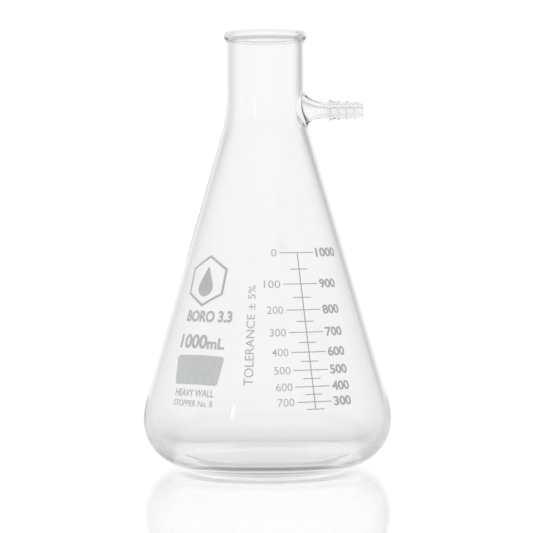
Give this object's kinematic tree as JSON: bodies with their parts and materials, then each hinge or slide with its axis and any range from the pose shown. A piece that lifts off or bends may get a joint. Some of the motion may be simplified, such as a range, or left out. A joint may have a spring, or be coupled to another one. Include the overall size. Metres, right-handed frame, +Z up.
{
  "type": "filter flask",
  "caption": "Heavy-walled conical filter flask with a beaded mouth, a barbed side arm for vacuum tubing and a fired enamel scale on the cone.",
  "frame": {"origin": "centre of the base on the surface that the flask stands on", "axes": "+Z up the flask's axis to the mouth, +X along the side arm, -Y out of the printed face"},
  "size_m": [0.134, 0.134, 0.234],
  "materials": {
    "borosilicate_glass": "clear, fire-polished, colourless borosilicate glass",
    "grey_enamel": "fired screen-printed enamel, matt grey",
    "marking_enamel": "fired enamel patch, matt pale grey, takes pencil"
  },
  "bodies": {
    "root": {"flask_body": "borosilicate_glass", "side_arm": "borosilicate_glass", "graduation_spine": "grey_enamel", "major_graduation_lines": "grey_enamel", "minor_graduation_lines": "grey_enamel", "content_numerals": "grey_enamel", "drawn_off_numerals": "grey_enamel", "tolerance_label": "grey_enamel", "hexagon_emblem": "grey_enamel", "glass_type_label": "grey_enamel", "capacity_label": "grey_enamel", "marking_spot": "marking_enamel", "wall_type_label": "grey_enamel", "stopper_size_label": "grey_enamel"}
  },
  "joints": []
}
